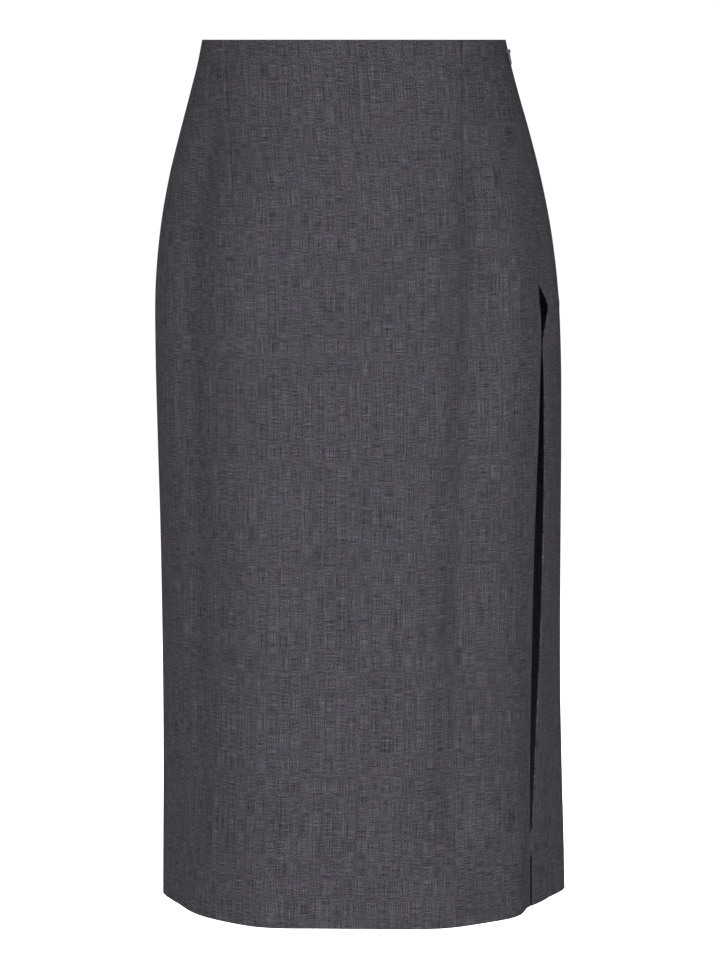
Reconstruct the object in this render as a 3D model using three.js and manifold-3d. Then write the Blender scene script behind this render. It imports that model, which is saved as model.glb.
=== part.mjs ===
// A pencil skirt in its worn shape: a hollow tube of suiting cut as one front and one back, darted at
// the waist, closed by a concealed zip in the wearer's left side seam and open below it in a long slit.
// Millimetres, +Z up. The origin is the middle of the waist opening, -Y is the front and +X the
// wearer's left. An angle is measured round a level section from the centre front, 90 at the wearer's left.

import * as THREE from "three";
import { mergeVertices } from "three/addons/utils/BufferGeometryUtils.js";
import Module from "manifold-3d";

const wasm = await Module();
wasm.setup();

// A table as a list of rows whose values go by their column's name.
function table(columns, rows) {
  return rows.map((row) => Object.fromEntries(columns.map((column, i) => [column, row[i]])));
}

// Driving dimensions
const LENGTH = 708;
const CLOTH = 1.6;
const SEAM_GAP = 0.3;
const SLIT_TOP = -196;
const SLIT_CLOSED = -650;
const RIGHT_SEAM_ANGLE = -75.5;

// Level sections from the waist edge to the hem. left, right, front and back are the reach from the
// Z axis, square is the exponent of the rounded outline (2 is an ellipse). The last five columns push
// the outline out or in at the soft corners and the flattened sides of the hanging cloth.
const SECTIONS = table(
  [
    "z", "left", "right", "front", "back", "square",
    "leftCorner", "leftSide", "rightCorner", "rightTurn", "rightSide",
  ],
  [
    [0, 123.2, 123.4, 92, 92, 2.08, 0, 0, 0, 0, 0],
    [-20, 127.3, 127.8, 96, 96.5, 2.1, 0, 0, 0, 0, 0],
    [-41, 132.7, 133.4, 99.5, 101.5, 2.12, 0, 0, 0, 0, 0],
    [-73, 141.2, 142.8, 104, 109, 2.15, 0, 0, 0, -0.2, -0.2],
    [-110, 150.5, 152.6, 108.5, 117, 2.18, 0.1, -0.1, 0, -0.4, -0.5],
    [-151, 157.9, 161.2, 112, 124, 2.2, 0.4, -0.3, 0.1, -0.6, -0.8],
    [-199, 162.5, 167.8, 115, 128.5, 2.2, 1, -0.8, 0.1, -1, -1.3],
    [-250, 163.1, 171.3, 117, 130, 2.17, 1.6, -1.4, 0.2, -1.9, -2.4],
    [-330, 161.8, 173.2, 119.5, 128.5, 2.12, 2.6, -2.2, 0.4, -3.4, -4.5],
    [-396, 160.4, 173.9, 121, 125.5, 2.08, 3.5, -3, 0.6, -4.7, -6.3],
    [-462, 159.6, 174.6, 122.6, 123.5, 2.05, 4.3, -3.7, 0.7, -5.9, -8.1],
    [-530, 159.2, 175.7, 124.1, 121.5, 2.02, 5.2, -4.4, 0.9, -7.3, -10.3],
    [-600, 159.4, 178, 125.6, 120, 2, 6, -5, 1, -9.3, -12.6],
    [-660, 160.1, 180.4, 126.5, 119.3, 2, 6.5, -5.4, 1.1, -11.6, -14.6],
    [-708, 160.6, 182.1, 127, 119, 2, 6.9, -5.7, 1.1, -13.9, -16.4],
  ],
);

// Where those pushes act: the angle of the middle and the spread of each.
const PUSHES = [
  { column: "leftCorner", angle: -38, spread: 14 },
  { column: "leftSide", angle: -70, spread: 9 },
  { column: "rightCorner", angle: 46, spread: 5 },
  { column: "rightTurn", angle: 60.5, spread: 8 },
  { column: "rightSide", angle: 78.5, spread: 10.5 },
];

// Soft folds. Each fades in from height `from` to `full` and out from `hold` to `to`. Its middle moves
// from angle `top` to `bottom`, early in its length where `bend` is over 1. A push out is a ridge.
const FOLDS = table(
  ["name", "from", "full", "hold", "to", "top", "bottom", "bend", "spread", "push"],
  [
    ["left trough", -25, -100, -580, -720, -54, -55, 1, 5.4, -6.6],
    ["left ridge", -100, -180, -330, -430, -62.5, -62, 1, 3.8, 1.4],
    ["left front corner", -50, -150, -700, -760, -32, -26, 1, 7.2, 6.5],
    ["right trough", -60, -130, -590, -700, 41, 23, 1.5, 4.8, -8.8],
    ["right ridge", -60, -130, -300, -420, 53, 42, 1, 4.6, 2.4],
    ["right front corner", -300, -520, -700, -760, 20, 20, 1, 8.5, 7],
    ["zip seam valley", -50, -120, -205, -290, 67, 64, 1, 5, -1.2],
    ["slit mouth ridge", -200, -216, -226, -250, 84, 70, 1, 2.6, 1.6],
    ["back left trough", -170, -290, -480, -640, 146, 140, 1, 6, -2.6],
    ["back right trough", -190, -300, -430, -600, 214, 219, 1, 6.5, -2.2],
    ["back middle trough", -260, -360, -560, -700, 182, 176, 1, 8, -1.8],
  ],
);

// The wearer's left edge of the front and the edge of the back that meets it: the zip seam down to
// SLIT_TOP, and below it the two sides of the slit, as distances across from the Z axis.
const ZIP_SEAM = table(["z", "angle"], [
  [0, 80],
  [-30, 76.5],
  [-57, 69.2],
  [-88, 65],
  [-120, 64],
  [-150, 63.6],
  [-180, 62],
  [-196, 60.8],
]);
const SLIT = table(["z", "front", "back"], [
  [-196, 149.3, 149.9],
  [-199, 149.7, 152.5],
  [-206, 150.4, 156.4],
  [-214, 151.1, 158.5],
  [-226, 151.9, 156.7],
  [-241, 152, 153.9],
  [-265, 150.9, 154.4],
  [-298, 150.1, 154.8],
  [-363, 148, 155.2],
  [-429, 146.1, 154.3],
  [-495, 145.4, 152.8],
  [-561, 144.8, 150],
  [-628, 144.5, 147.7],
  [-662, 144.8, 145.9],
  [-708, 145.3, 146],
]);

// Darts: their line across at the waist and at the tip, their length, and how deep the sewn line sinks.
const FRONT_DARTS = [
  { name: "front right", top: -104, tip: -96, length: 135, depth: 0.9 },
  { name: "front left", top: 86.6, tip: 87.9, length: 138, depth: 0.9 },
];
const BACK_DARTS = [
  { name: "back left", top: 66, tip: 72, length: 122, depth: 0.9 },
  { name: "back right", top: -72, tip: -80, length: 122, depth: 0.9 },
];
const DART_TAPER = 28;

// Rows of points down the cloth, and the pitch of its columns.
const BANDS = [
  { name: "waist to seam end", to: SLIT_TOP + 2, rows: 10 },
  { name: "seam end", to: SLIT_TOP, rows: 1 },
  { name: "slit mouth", to: -241, rows: 7 },
  { name: "hip", to: -300, rows: 3 },
  { name: "skirt", to: -LENGTH, rows: 12 },
];
const FRONT_PITCH = 13;
const BACK_PITCH = 16;
const NEAR_LINE = [1.6, 6];

// The concealed zip
const ZIP_TOP = -4;
const ZIP_BOTTOM = -188;
const ZIP_ROWS = 14;
const ZIP_GAP = 0.45;
const TAPE_WIDTH = 20;
const TAPE_THICK = 1;
const COIL_WIDTH = 4.4;
const COIL_THICK = 1.7;

// The slider, in its own frame: x across the seam, y up along the cloth, z out of it.
const SLIDER_Z = -9.6;
const NECK_WIDTH = 1;
const NECK_HEIGHT = 3.4;
const NECK_CLEARANCE = 0.4;
const EYE_OUT = 1.6;
const EYE_HOLE = 0.8;
const SADDLE = { width: 7.4, height: 9.5, wall: 1, clearance: 0.35, corner: 1.4 };
const PULL = {
  bar: 0.5,
  windowWidth: 2.4,
  windowHeight: 1.7,
  width: 4.4,
  length: 11.6,
  neck: 3.6,
  neckDown: 4.9,
  corner: 0.4,
  tip: 2.1,
  thick: 1,
};

const COLOURS = { cloth: 0x4a484d, zipTape: 0x232326, metal: 0x3a3a3e };

const radians = THREE.MathUtils.degToRad;

// A column of a table at height z: a smooth curve through the rows, which run downwards.
function columnAt(table, key, z) {
  const last = table.length - 1;
  if (z >= table[0].z) return table[0][key];
  if (z <= table[last].z) return table[last][key];
  const i = table.findIndex((row, n) => n < last && z > table[n + 1].z);
  const slope = (n) => (table[n + 1][key] - table[n][key]) / (table[n + 1].z - table[n].z);
  const tangent = (n) => {
    if (n === 0) return slope(0);
    if (n === last) return slope(last - 1);
    return (slope(n - 1) + slope(n)) / 2;
  };
  const span = table[i + 1].z - table[i].z;
  const t = (z - table[i].z) / span;
  const [t2, t3] = [t * t, t * t * t];
  return (
    (2 * t3 - 3 * t2 + 1) * table[i][key] +
    (t3 - 2 * t2 + t) * span * tangent(i) +
    (3 * t2 - 2 * t3) * table[i + 1][key] +
    (t3 - t2) * span * tangent(i + 1)
  );
}

const sectionCache = new Map();

function sectionAt(z) {
  if (!sectionCache.has(z)) {
    const row = { z };
    for (const key of Object.keys(SECTIONS[0])) {
      if (key !== "z") row[key] = columnAt(SECTIONS, key, z);
    }
    sectionCache.set(z, row);
  }
  return sectionCache.get(z);
}

// A bell of height 1 round an angle, in degrees, that works across the turn at 180.
function bell(angle, middle, spread) {
  const off = ((((angle - middle + 180) % 360) + 360) % 360) - 180;
  return Math.exp(-0.5 * (off / spread) ** 2);
}

// How far the soft folds push the cloth out at an angle and a height.
function foldPush(angle, z) {
  let push = 0;
  for (const fold of FOLDS) {
    if (z > fold.from || z < fold.to) continue;
    const fade =
      THREE.MathUtils.smoothstep(-z, -fold.from, -fold.full) *
      (1 - THREE.MathUtils.smoothstep(-z, -fold.hold, -fold.to));
    const along = (fold.from - z) / (fold.from - fold.to);
    const middle = fold.bottom + (fold.top - fold.bottom) * (1 - along) ** fold.bend;
    push += fold.push * fade * bell(angle, middle, fold.spread);
  }
  return push;
}

// The cloth's outer face: the section's rounded outline with its pushes and, where wanted, the folds.
function outerPoint(angle, z, withFolds = true) {
  const row = sectionAt(z);
  const [sine, cosine] = [Math.sin(radians(angle)), Math.cos(radians(angle))];
  const round = (Math.abs(sine) ** row.square + Math.abs(cosine) ** row.square) ** (-1 / row.square);
  const x = ((row.left + row.right) / 2) * round * sine;
  const y = -(cosine > 0 ? row.front : row.back) * round * cosine;
  let push = withFolds ? foldPush(angle, z) : 0;
  for (const { column, angle: middle, spread } of PUSHES) push += row[column] * bell(angle, middle, spread);
  const scale = 1 + push / Math.hypot(x, y);
  return new THREE.Vector3((row.right - row.left) / 2 + x * scale, y * scale, z);
}

// The direction straight out of the cloth.
function outOfCloth(angle, z) {
  const [turn, rise] = [0.4, 2];
  const top = Math.min(0, z + rise);
  const low = Math.max(-LENGTH, z - rise);
  const round = outerPoint(angle + turn, z).sub(outerPoint(angle - turn, z));
  const up = outerPoint(angle, top).sub(outerPoint(angle, low));
  return round.cross(up).normalize();
}

// A point at a depth below the outer face, measured across the wall and moved level.
function pointBelow(angle, z, depth) {
  const out = outOfCloth(angle, z);
  const level = Math.hypot(out.x, out.y);
  const direction = new THREE.Vector3(out.x / level, out.y / level, 0);
  return outerPoint(angle, z).addScaledVector(direction, -depth / level);
}

// The angle at which the outline is `across` from the Z axis, on the front or on the back.
function angleAcross(across, z, side, withFolds) {
  let [low, high] = side === "front" ? [-88, 88] : [92, 268];
  const rising = side === "front";
  for (let i = 0; i < 40; i++) {
    const middle = (low + high) / 2;
    const below = outerPoint(middle, z, withFolds).x < across;
    if (below === rising) low = middle;
    else high = middle;
  }
  return (low + high) / 2;
}

// Degrees of angle that take up a length of cloth at a height.
function degreesOf(length, angle, z) {
  return length / outerPoint(angle + 0.5, z).distanceTo(outerPoint(angle - 0.5, z));
}

function zipSeamAngle(z) {
  return columnAt(ZIP_SEAM, "angle", z);
}

// The edge of the front ("front") or of the back ("back") at the zip seam and the slit.
function leftEdge(z, side) {
  const clear = side === "front" ? -SEAM_GAP / 2 : SEAM_GAP / 2;
  if (z > SLIT_TOP) {
    const angle = zipSeamAngle(z);
    return angle + degreesOf(clear, angle, z);
  }
  const angle = angleAcross(columnAt(SLIT, side, z), z, "front", false);
  return z < SLIT_CLOSED ? angle + degreesOf(clear / 2, angle, z) : angle;
}

function rightEdge(z, side) {
  const clear = side === "front" ? SEAM_GAP / 2 : -SEAM_GAP / 2;
  return RIGHT_SEAM_ANGLE + degreesOf(clear, RIGHT_SEAM_ANGLE, z);
}

function dartAngle(dart, z, side) {
  const along = Math.min(1, -z / dart.length);
  return angleAcross(THREE.MathUtils.lerp(dart.top, dart.tip, along), z, side, true);
}

function dartSink(dart, z) {
  const left = dart.length + z;
  return dart.depth * THREE.MathUtils.clamp(left / DART_TAPER, 0, 1);
}

function rowHeights() {
  const heights = [0];
  for (const { to, rows } of BANDS) {
    const start = heights[heights.length - 1];
    for (let i = 1; i <= rows; i++) heights.push(start + ((to - start) * i) / rows);
  }
  return heights;
}

// Fractions across a stretch of cloth between two lines: close to each line, then evenly spread.
function stations(width, pitch) {
  const [close, next] = NEAR_LINE;
  const inner = Math.max(1, Math.round((width - 2 * next) / pitch));
  const places = [0, close];
  for (let i = 0; i <= inner; i++) places.push(next + ((width - 2 * next) * i) / inner);
  places.push(width - close);
  return places.map((place) => place / width);
}

// The closed wall between two grids of points, whose rows run down and whose columns run round.
function wallGeometry(outer, inner) {
  const [rows, columns] = [outer.length, outer[0].length];
  const positions = [...outer.flat(), ...inner.flat()].flatMap((point) => point.toArray());
  const index = [];
  const out = (r, c) => r * columns + c;
  const into = (r, c) => rows * columns + r * columns + c;
  const face = (a, b, c, d) => index.push(a, b, c, a, c, d);
  for (let r = 0; r + 1 < rows; r++) {
    for (let c = 0; c + 1 < columns; c++) {
      face(out(r, c), out(r + 1, c), out(r + 1, c + 1), out(r, c + 1));
      face(into(r, c), into(r, c + 1), into(r + 1, c + 1), into(r + 1, c));
    }
    face(out(r + 1, 0), out(r, 0), into(r, 0), into(r + 1, 0));
    face(out(r, columns - 1), out(r + 1, columns - 1), into(r + 1, columns - 1), into(r, columns - 1));
  }
  for (let c = 0; c + 1 < columns; c++) {
    face(out(0, c), out(0, c + 1), into(0, c + 1), into(0, c));
    face(out(rows - 1, c + 1), out(rows - 1, c), into(rows - 1, c), into(rows - 1, c + 1));
  }
  const geometry = new THREE.BufferGeometry();
  geometry.setAttribute("position", new THREE.Float32BufferAttribute(positions, 3));
  geometry.setIndex(index);
  return geometry;
}

// A panel between two edges. Its columns follow the darts, and each sewn dart line sinks into the
// outer face alone, over a plain inside.
function panelGeometry({ side, start, end, darts, pitch }) {
  const ordered = darts.map((dart) => ({ ...dart, angle: (z) => dartAngle(dart, z, side) }));
  const lines = [start, ...ordered.map((dart) => dart.angle), end];
  const middle = -LENGTH / 2;
  const columns = [];
  for (let i = 0; i + 1 < lines.length; i++) {
    const [from, to] = [lines[i](middle), lines[i + 1](middle)];
    const width = (to - from) / degreesOf(1, (from + to) / 2, middle);
    for (const share of stations(width, pitch)) columns.push({ line: i, share });
  }
  columns.push({ line: lines.length - 2, share: 1 });
  const [outer, inner] = [[], []];
  for (const z of rowHeights()) {
    const edges = lines.map((line) => line(z));
    outer.push([]);
    inner.push([]);
    for (const { line, share } of columns) {
      const angle = THREE.MathUtils.lerp(edges[line], edges[line + 1], share);
      const sink = line > 0 && share === 0 ? dartSink(darts[line - 1], z) : 0;
      outer.at(-1).push(pointBelow(angle, z, sink));
      inner.at(-1).push(pointBelow(angle, z, CLOTH));
    }
  }
  return wallGeometry(outer, inner);
}

// The closed zip seen from inside: a flat tape on the inner face with the coil as a bead down it.
function zipChainGeometry() {
  const face = CLOTH + ZIP_GAP;
  const [tape, coil] = [face + TAPE_THICK, face + TAPE_THICK + COIL_THICK];
  const [half, bead] = [TAPE_WIDTH / 2, COIL_WIDTH / 2];
  const profile = [
    { across: -half, near: face, far: tape },
    { across: -bead, near: face, far: tape },
    { across: -bead * 0.6, near: face, far: coil },
    { across: bead * 0.6, near: face, far: coil },
    { across: bead, near: face, far: tape },
    { across: half, near: face, far: tape },
  ];
  const [outer, inner] = [[], []];
  for (let i = 0; i <= ZIP_ROWS; i++) {
    const z = THREE.MathUtils.lerp(ZIP_TOP, ZIP_BOTTOM, i / ZIP_ROWS);
    const seam = zipSeamAngle(z);
    const angles = profile.map(({ across }) => seam + degreesOf(across, seam, z));
    outer.push(profile.map(({ near }, n) => pointBelow(angles[n], z, near)));
    inner.push(profile.map(({ far }, n) => pointBelow(angles[n], z, far)));
  }
  return wallGeometry(outer, inner);
}

// Solids for cutting and joining
function toSolid(geometry) {
  const bare = geometry.index ? geometry.toNonIndexed() : geometry.clone();
  bare.deleteAttribute("normal");
  bare.deleteAttribute("uv");
  const merged = mergeVertices(bare, 1e-4);
  return new wasm.Manifold(
    new wasm.Mesh({
      numProp: 3,
      vertProperties: new Float32Array(merged.attributes.position.array),
      triVerts: new Uint32Array(merged.index.array),
    }),
  );
}

function toGeometry(solid) {
  const mesh = solid.getMesh();
  const geometry = new THREE.BufferGeometry();
  geometry.setAttribute("position", new THREE.Float32BufferAttribute(mesh.vertProperties, 3));
  geometry.setIndex(new THREE.Uint32BufferAttribute(mesh.triVerts, 1));
  return geometry;
}

function boxSolid(width, height, depth, x = 0, y = 0, z = 0) {
  return toSolid(new THREE.BoxGeometry(width, height, depth).translate(x, y, z));
}

function roundedShape(width, height, radius) {
  const [w, h] = [width / 2, height / 2];
  const shape = new THREE.Shape();
  shape.moveTo(-w + radius, -h);
  shape.lineTo(w - radius, -h);
  shape.absarc(w - radius, -h + radius, radius, -Math.PI / 2, 0);
  shape.absarc(w - radius, h - radius, radius, 0, Math.PI / 2);
  shape.absarc(-w + radius, h - radius, radius, Math.PI / 2, Math.PI);
  shape.absarc(-w + radius, -h + radius, radius, Math.PI, 1.5 * Math.PI);
  return shape;
}

function extruded(shape, depth, curveSegments = 5) {
  return new THREE.ExtrudeGeometry(shape, { depth, bevelEnabled: false, curveSegments });
}

// The frame of the slider: on the cloth's outer face, with its y axis along the seam.
function sliderFrame() {
  const onSeam = (z) => outerPoint(zipSeamAngle(z), z);
  const reach = SADDLE.height / 2;
  const along = onSeam(SLIDER_Z + reach).sub(onSeam(SLIDER_Z - reach)).normalize();
  const out = outOfCloth(zipSeamAngle(SLIDER_Z), SLIDER_Z);
  const round = along.cross(out).normalize();
  const up = out.clone().cross(round);
  const frame = new THREE.Matrix4().makeBasis(round, up, out);
  return frame.setPosition(onSeam(SLIDER_Z));
}

// The hole that the slider's neck needs through the seam and the tape.
function neckHole(frame) {
  const deep = 2 * (CLOTH + ZIP_GAP + TAPE_THICK + COIL_THICK + SADDLE.wall);
  const hole = new THREE.BoxGeometry(
    NECK_WIDTH + 2 * NECK_CLEARANCE,
    NECK_HEIGHT + 2 * NECK_CLEARANCE,
    deep,
  );
  return toSolid(hole.applyMatrix4(frame));
}

// The slider: a saddle that straddles the coil inside, and a neck with an eye that comes out.
function sliderSolid() {
  const coilFace = -(CLOTH + ZIP_GAP + TAPE_THICK);
  const inside = coilFace - COIL_THICK - SADDLE.clearance;
  const floor = inside - SADDLE.wall;
  const outline = roundedShape(SADDLE.width, SADDLE.height, SADDLE.corner);
  const plate = extruded(outline, coilFace - floor - SADDLE.clearance).translate(0, 0, floor);
  const channelWidth = COIL_WIDTH + 2 * SADDLE.clearance;
  const channelDepth = coilFace - inside;
  const channel = boxSolid(channelWidth, 2 * SADDLE.height, channelDepth, 0, 0, inside + channelDepth / 2);
  const saddle = toSolid(plate).subtract(channel);
  const half = NECK_HEIGHT / 2;
  const eye = new THREE.Shape();
  eye.moveTo(-half, inside - SADDLE.wall / 2);
  eye.lineTo(half, inside - SADDLE.wall / 2);
  eye.lineTo(half, EYE_OUT);
  eye.absarc(0, EYE_OUT, half, 0, Math.PI);
  const hole = new THREE.Path().absarc(0, EYE_OUT, EYE_HOLE, 0, 2 * Math.PI, true);
  eye.holes.push(hole);
  const blade = extruded(eye, NECK_WIDTH, 8).translate(0, 0, -NECK_WIDTH / 2);
  blade.applyMatrix4(new THREE.Matrix4().makeBasis(
    new THREE.Vector3(0, 1, 0),
    new THREE.Vector3(0, 0, 1),
    new THREE.Vector3(1, 0, 0),
  ));
  return saddle.add(toSolid(blade));
}

// The pull: a bar through the eye, two short arms round it and a tab that widens to a round tip.
function pullSolid() {
  const { bar, windowWidth, windowHeight, width, length, neck, neckDown, corner, tip, thick } = PULL;
  const half = width / 2;
  const outline = new THREE.Shape();
  outline.moveTo(-half + corner, bar);
  outline.lineTo(-half, bar - corner);
  outline.lineTo(-neck / 2, -neckDown);
  outline.lineTo(-tip, -length + bar + tip);
  outline.absarc(0, -length + bar + tip, tip, Math.PI, 2 * Math.PI);
  outline.lineTo(neck / 2, -neckDown);
  outline.lineTo(half, bar - corner);
  outline.lineTo(half - corner, bar);
  const window = new THREE.Path();
  window.moveTo(-windowWidth / 2, -bar);
  window.lineTo(windowWidth / 2, -bar);
  window.lineTo(windowWidth / 2, -bar - windowHeight);
  window.lineTo(-windowWidth / 2, -bar - windowHeight);
  outline.holes.push(window);
  return toSolid(extruded(outline, thick, 7).translate(0, 0, -thick / 2));
}

function clothMaterial() {
  return new THREE.MeshStandardMaterial({ color: COLOURS.cloth, roughness: 0.92, metalness: 0 });
}

function named(name, geometry, material) {
  geometry.computeVertexNormals();
  const mesh = new THREE.Mesh(geometry, material);
  mesh.name = name;
  return mesh;
}

const frame = sliderFrame();
const hole = neckHole(frame);
const cut = (geometry) => toGeometry(toSolid(geometry).subtract(hole));

const frontPanel = panelGeometry({
  side: "front",
  start: (z) => rightEdge(z, "front"),
  end: (z) => leftEdge(z, "front"),
  darts: FRONT_DARTS,
  pitch: FRONT_PITCH,
});
const backPanel = panelGeometry({
  side: "back",
  start: (z) => leftEdge(z, "back"),
  end: (z) => 360 + rightEdge(z, "back"),
  darts: BACK_DARTS,
  pitch: BACK_PITCH,
});

const skirt = new THREE.Group();
skirt.add(named("front_panel", cut(frontPanel), clothMaterial()));
skirt.add(named("back_panel", cut(backPanel), clothMaterial()));
const tapeMaterial = new THREE.MeshStandardMaterial({ color: COLOURS.zipTape, roughness: 0.8, metalness: 0 });
skirt.add(named("zip_chain", cut(zipChainGeometry()), tapeMaterial));

const metal = new THREE.MeshStandardMaterial({ color: COLOURS.metal, roughness: 0.4, metalness: 0.8 });
const sliderGroup = new THREE.Group();
frame.decompose(sliderGroup.position, sliderGroup.quaternion, sliderGroup.scale);
sliderGroup.add(named("zip_slider", toGeometry(sliderSolid()), metal));
const pull = named("zip_pull", toGeometry(pullSolid()), metal);
pull.position.set(0, 0, EYE_OUT);
sliderGroup.add(pull);
skirt.add(sliderGroup);

export default skirt;
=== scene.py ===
import math

import bpy
import numpy as np
from mathutils import Matrix, Vector


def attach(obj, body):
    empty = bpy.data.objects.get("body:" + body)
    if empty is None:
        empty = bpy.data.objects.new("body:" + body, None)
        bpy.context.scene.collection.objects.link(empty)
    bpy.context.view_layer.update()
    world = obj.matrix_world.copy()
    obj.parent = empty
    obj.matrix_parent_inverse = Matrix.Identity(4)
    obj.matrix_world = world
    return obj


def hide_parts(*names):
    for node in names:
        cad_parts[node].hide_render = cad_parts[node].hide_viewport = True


bl_info = {
    "name": "Pencil skirt",
    "version": (1, 0, 0),
    "blender": (4, 5, 0),
    "location": "3D View > Sidebar > Skirt",
    "description": "Dresses the packed pencil skirt in its suiting, with its zip, and sets the studio",
    "category": "Object",
}

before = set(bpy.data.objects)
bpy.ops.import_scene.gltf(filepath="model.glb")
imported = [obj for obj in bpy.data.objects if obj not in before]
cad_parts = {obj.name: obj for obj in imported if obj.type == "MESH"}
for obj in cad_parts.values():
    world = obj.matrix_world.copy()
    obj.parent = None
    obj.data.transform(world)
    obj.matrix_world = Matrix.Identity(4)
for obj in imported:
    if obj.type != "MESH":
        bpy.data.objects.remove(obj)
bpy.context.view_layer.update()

# Every size below is in millimetres, as in the part's source, and is turned to metres when a mesh is
# made. An angle is measured round a level section from the centre front, 90 at the wearer's left.
MM = 0.001
LENGTH = 708
SLIT_TOP = -196
SLIT_CLOSED = -650
RIGHT_SEAM_ANGLE = -75.5

# Level sections of the outer face, from the waist edge to the hem: the reach from the Z axis each
# way, the exponent of the rounded outline, and how far five places on it are pushed out.
SECTION_COLUMNS = ("z", "left", "right", "front", "back", "square",
                   "left_corner", "left_side", "right_corner", "right_turn", "right_side")
SECTIONS = [dict(zip(SECTION_COLUMNS, row)) for row in (
    (0, 123.2, 123.4, 92, 92, 2.08, 0, 0, 0, 0, 0),
    (-20, 127.3, 127.8, 96, 96.5, 2.1, 0, 0, 0, 0, 0),
    (-41, 132.7, 133.4, 99.5, 101.5, 2.12, 0, 0, 0, 0, 0),
    (-73, 141.2, 142.8, 104, 109, 2.15, 0, 0, 0, -0.2, -0.2),
    (-110, 150.5, 152.6, 108.5, 117, 2.18, 0.1, -0.1, 0, -0.4, -0.5),
    (-151, 157.9, 161.2, 112, 124, 2.2, 0.4, -0.3, 0.1, -0.6, -0.8),
    (-199, 162.5, 167.8, 115, 128.5, 2.2, 1, -0.8, 0.1, -1, -1.3),
    (-250, 163.1, 171.3, 117, 130, 2.17, 1.6, -1.4, 0.2, -1.9, -2.4),
    (-330, 161.8, 173.2, 119.5, 128.5, 2.12, 2.6, -2.2, 0.4, -3.4, -4.5),
    (-396, 160.4, 173.9, 121, 125.5, 2.08, 3.5, -3, 0.6, -4.7, -6.3),
    (-462, 159.6, 174.6, 122.6, 123.5, 2.05, 4.3, -3.7, 0.7, -5.9, -8.1),
    (-530, 159.2, 175.7, 124.1, 121.5, 2.02, 5.2, -4.4, 0.9, -7.3, -10.3),
    (-600, 159.4, 178, 125.6, 120, 2, 6, -5, 1, -9.3, -12.6),
    (-660, 160.1, 180.4, 126.5, 119.3, 2, 6.5, -5.4, 1.1, -11.6, -14.6),
    (-708, 160.6, 182.1, 127, 119, 2, 6.9, -5.7, 1.1, -13.9, -16.4),
)]
PUSHES = (
    {"column": "left_corner", "angle": -38, "spread": 14},
    {"column": "left_side", "angle": -70, "spread": 9},
    {"column": "right_corner", "angle": 46, "spread": 5},
    {"column": "right_turn", "angle": 60.5, "spread": 8},
    {"column": "right_side", "angle": 78.5, "spread": 10.5},
)

# Soft folds. Each fades in from height start to full and out from hold to stop, and its middle moves
# from angle top to bottom. A push out is a ridge. The rows after the first eleven are slight creases
# that the solids leave out.
FOLD_COLUMNS = ("name", "start", "full", "hold", "stop", "top", "bottom", "bend", "spread", "push")
FOLDS = [dict(zip(FOLD_COLUMNS, row)) for row in (
    ("left trough", -25, -100, -580, -720, -54, -55, 1, 5.4, -6.6),
    ("left ridge", -100, -180, -330, -430, -62.5, -62, 1, 3.8, 1.4),
    ("left front corner", -50, -150, -700, -760, -32, -26, 1, 7.2, 6.5),
    ("right trough", -60, -130, -590, -700, 41, 23, 1.5, 4.8, -8.8),
    ("right ridge", -60, -130, -300, -420, 53, 42, 1, 4.6, 2.4),
    ("right front corner", -300, -520, -700, -760, 20, 20, 1, 8.5, 7),
    ("zip seam valley", -50, -120, -205, -290, 67, 64, 1, 5, -1.2),
    ("slit mouth ridge", -200, -216, -226, -250, 84, 70, 1, 2.6, 1.6),
    ("back left trough", -170, -290, -480, -640, 146, 140, 1, 6, -2.6),
    ("back right trough", -190, -300, -430, -600, 214, 219, 1, 6.5, -2.2),
    ("back middle trough", -260, -360, -560, -700, 182, 176, 1, 8, -1.8),
    ("front left dart release", -120, -150, -190, -260, -38, -41, 1, 2.6, 0.45),
    ("front right dart release", -125, -150, -180, -240, 33.5, 35, 1, 2.2, 0.4),
    ("front lap crease", -210, -260, -330, -410, -12, -4, 1, 5, -0.5),
    ("front knee crease", -430, -500, -560, -640, 6, -3, 1, 6, -0.45),
    ("left side crease", -250, -300, -380, -460, -80, -84, 1, 2.6, -0.6),
    ("slit pull crease", -195, -204, -230, -252, 78, 65.5, 1.6, 1.3, 1.5),
    ("slit edge turn", -420, -560, -690, -709, 58, 56, 1, 3, -0.7),
    ("back seat crease", -120, -170, -210, -280, 168, 160, 1, 4.5, -0.6),
    ("back left dart release", -110, -140, -170, -240, 147, 149, 1, 3, 0.5),
    ("back right dart release", -110, -140, -175, -250, 213, 211, 1, 3, 0.5),
    ("back left side crease", -230, -300, -420, -520, 112, 106, 1, 3.6, -0.8),
    ("back right side crease", -270, -330, -400, -500, 244, 250, 1, 3.2, -0.7),
)]

# The zip seam, and the two sides of the slit below it as distances across from the Z axis.
ZIP_SEAM = [dict(zip(("z", "angle"), row)) for row in (
    (0, 80), (-30, 76.5), (-57, 69.2), (-88, 65), (-120, 64), (-150, 63.6), (-180, 62), (-196, 60.8),
)]
SLIT = [dict(zip(("z", "front", "back"), row)) for row in (
    (-196, 149.3, 149.9), (-199, 149.7, 152.5), (-206, 150.4, 156.4), (-214, 151.1, 158.5),
    (-226, 151.9, 156.7), (-241, 152, 153.9), (-265, 150.9, 154.4), (-298, 150.1, 154.8),
    (-363, 148, 155.2), (-429, 146.1, 154.3), (-495, 145.4, 152.8), (-561, 144.8, 150),
    (-628, 144.5, 147.7), (-662, 144.8, 145.9), (-708, 145.3, 146),
)]

# Darts: the line across at the waist and at the tip, the length, and which way the fold is pressed.
DARTS = {
    "front": (
        {"top": -104, "tip": -96, "length": 135, "pressed": 1},
        {"top": 86.6, "tip": 87.9, "length": 138, "pressed": -1},
    ),
    "back": (
        {"top": 66, "tip": 72, "length": 122, "pressed": 1},
        {"top": -72, "tip": -80, "length": 122, "pressed": -1},
    ),
}
DART_TAPER = 28
DART_SINK = 1.7
DART_WIDTH = 1.0
DART_RIDGE = 0.28

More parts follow.
